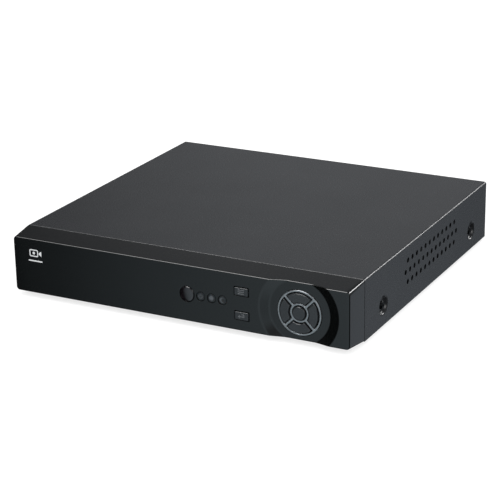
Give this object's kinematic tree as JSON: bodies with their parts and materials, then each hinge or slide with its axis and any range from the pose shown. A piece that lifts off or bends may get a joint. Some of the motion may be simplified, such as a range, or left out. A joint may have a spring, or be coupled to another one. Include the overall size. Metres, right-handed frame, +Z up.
{
  "type": "digital video recorder",
  "caption": "Compact desktop security video recorder: flat steel case with side vents, black plastic front with a round key pad, status lenses and remote window, and jacks along the rear wall.",
  "frame": {"origin": "middle of the floor under the recorder: centre of the whole part's footprint, at the underside of the feet", "axes": "+X to the right seen from the front, +Y from the front bezel to the rear jacks, +Z up"},
  "size_m": [0.255, 0.2536, 0.045],
  "materials": {
    "cover_paint": "satin charcoal powder coat, fine texture",
    "galvanised_sheet": "dull galvanised sheet, folded",
    "bezel_plastic": "semi-gloss black moulded ABS",
    "key_plastic": "fine spark-textured black ABS",
    "ring_plastic": "polished dark grey ABS trim",
    "smoked_window": "polished smoked acrylic",
    "light_pipe": "frosted smoky polycarbonate",
    "circuit_board": "green solder mask over glass laminate",
    "black_nylon": "matt black moulded nylon",
    "nickel_plate": "bright nickel plate",
    "black_steel": "black zinc-plated screw steel",
    "jack_plastic": "matt black moulded PBT",
    "cast_aluminium": "as-cast and machined aluminium",
    "disk_lid_steel": "pressed stainless sheet",
    "anodised_sink": "black anodised extrusion",
    "ribbon_film": "white polyester flat cable",
    "red_lead_jacket": "red PVC lead",
    "black_lead_jacket": "black PVC lead",
    "foot_rubber": "matt black moulded rubber"
  },
  "bodies": {
    "case": {"top_cover": "cover_paint", "base_tray": "galvanised_sheet", "front_bezel": "bezel_plastic", "pad_ring": "ring_plastic", "ir_window": "smoked_window", "lens_power": "light_pipe", "lens_record": "light_pipe", "lens_alarm": "light_pipe", "switch_ok": "black_nylon", "switch_right": "black_nylon", "switch_up": "black_nylon", "switch_left": "black_nylon", "switch_down": "black_nylon", "switch_menu": "black_nylon", "switch_exit": "black_nylon", "ir_receiver": "black_nylon", "ribbon_cable": "ribbon_film", "main_board": "circuit_board", "heat_sink": "anodised_sink", "coin_cell": "nickel_plate", "buzzer": "black_nylon", "board_screw_1": "nickel_plate", "board_screw_2": "nickel_plate", "camera_jack_1": "nickel_plate", "camera_jack_2": "nickel_plate", "camera_jack_3": "nickel_plate", "camera_jack_4": "nickel_plate", "audio_jacks": "jack_plastic", "vga_port": "nickel_plate", "hdmi_port": "nickel_plate", "lan_port": "nickel_plate", "usb_port": "nickel_plate", "power_inlet": "jack_plastic", "disk_casting": "cast_aluminium", "disk_lid": "disk_lid_steel", "disk_board": "circuit_board", "disk_screw_1": "black_steel", "disk_screw_2": "black_steel", "disk_screw_3": "black_steel", "disk_screw_4": "black_steel", "disk_data_lead": "red_lead_jacket", "disk_power_lead": "black_lead_jacket", "fan_frame": "jack_plastic", "foot_1": "foot_rubber", "foot_2": "foot_rubber", "foot_3": "foot_rubber", "foot_4": "foot_rubber", "cover_screw_1": "black_steel", "cover_screw_2": "black_steel", "cover_screw_3": "black_steel", "cover_screw_4": "black_steel", "key_board": "circuit_board"},
    "body_key_up": {"key_up": "key_plastic"},
    "body_key_down": {"key_down": "key_plastic"},
    "body_key_left": {"key_left": "key_plastic"},
    "body_key_right": {"key_right": "key_plastic"},
    "body_key_ok": {"key_ok": "key_plastic"},
    "body_key_menu": {"key_menu": "key_plastic"},
    "body_key_exit": {"key_exit": "key_plastic"},
    "rotor": {"fan_rotor": "black_nylon"}
  },
  "joints": [
    {"name": "key_up_press", "type": "slide", "parent": "case", "child": "body_key_up", "axis": [0, 1, 0], "range_m": [0, 0.0005], "stiffness_N_per_m": 600, "springref_m": -0.001},
    {"name": "key_down_press", "type": "slide", "parent": "case", "child": "body_key_down", "axis": [0, 1, 0], "range_m": [0, 0.0005], "stiffness_N_per_m": 600, "springref_m": -0.001},
    {"name": "key_left_press", "type": "slide", "parent": "case", "child": "body_key_left", "axis": [0, 1, 0], "range_m": [0, 0.0005], "stiffness_N_per_m": 600, "springref_m": -0.001},
    {"name": "key_right_press", "type": "slide", "parent": "case", "child": "body_key_right", "axis": [0, 1, 0], "range_m": [0, 0.0005], "stiffness_N_per_m": 600, "springref_m": -0.001},
    {"name": "key_ok_press", "type": "slide", "parent": "case", "child": "body_key_ok", "axis": [0, 1, 0], "range_m": [0, 0.0005], "stiffness_N_per_m": 600, "springref_m": -0.001},
    {"name": "key_menu_press", "type": "slide", "parent": "case", "child": "body_key_menu", "axis": [0, 1, 0], "range_m": [0, 0.0005], "stiffness_N_per_m": 600, "springref_m": -0.001},
    {"name": "key_exit_press", "type": "slide", "parent": "case", "child": "body_key_exit", "axis": [0, 1, 0], "range_m": [0, 0.0005], "stiffness_N_per_m": 600, "springref_m": -0.001},
    {"name": "fan_spin", "type": "hinge", "parent": "case", "child": "rotor", "pos_m": [0.12095, 0.00785, 0.0237], "axis": [1, 0, 0], "continuous": true}
  ]
}
